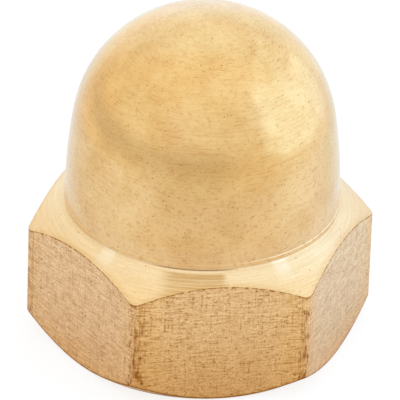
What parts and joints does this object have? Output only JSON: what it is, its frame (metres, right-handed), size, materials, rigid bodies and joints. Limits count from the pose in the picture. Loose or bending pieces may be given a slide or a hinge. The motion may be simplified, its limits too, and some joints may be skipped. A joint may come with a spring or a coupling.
{
  "type": "cap nut",
  "caption": "Domed cap nut turned from hexagonal brass bar, with a blind tapped hole that closes over a bolt's end.",
  "frame": {"origin": "Middle of the seat face, on the thread's axis.", "axes": "+Z along the thread's axis from the seat face to the dome; two flats of the hexagon face +Y and -Y, two corners lie on +X and -X."},
  "size_m": [0.0148, 0.013, 0.015],
  "materials": {
    "brass": "satin"
  },
  "bodies": {
    "root": {"cap_nut": "brass"}
  },
  "joints": []
}
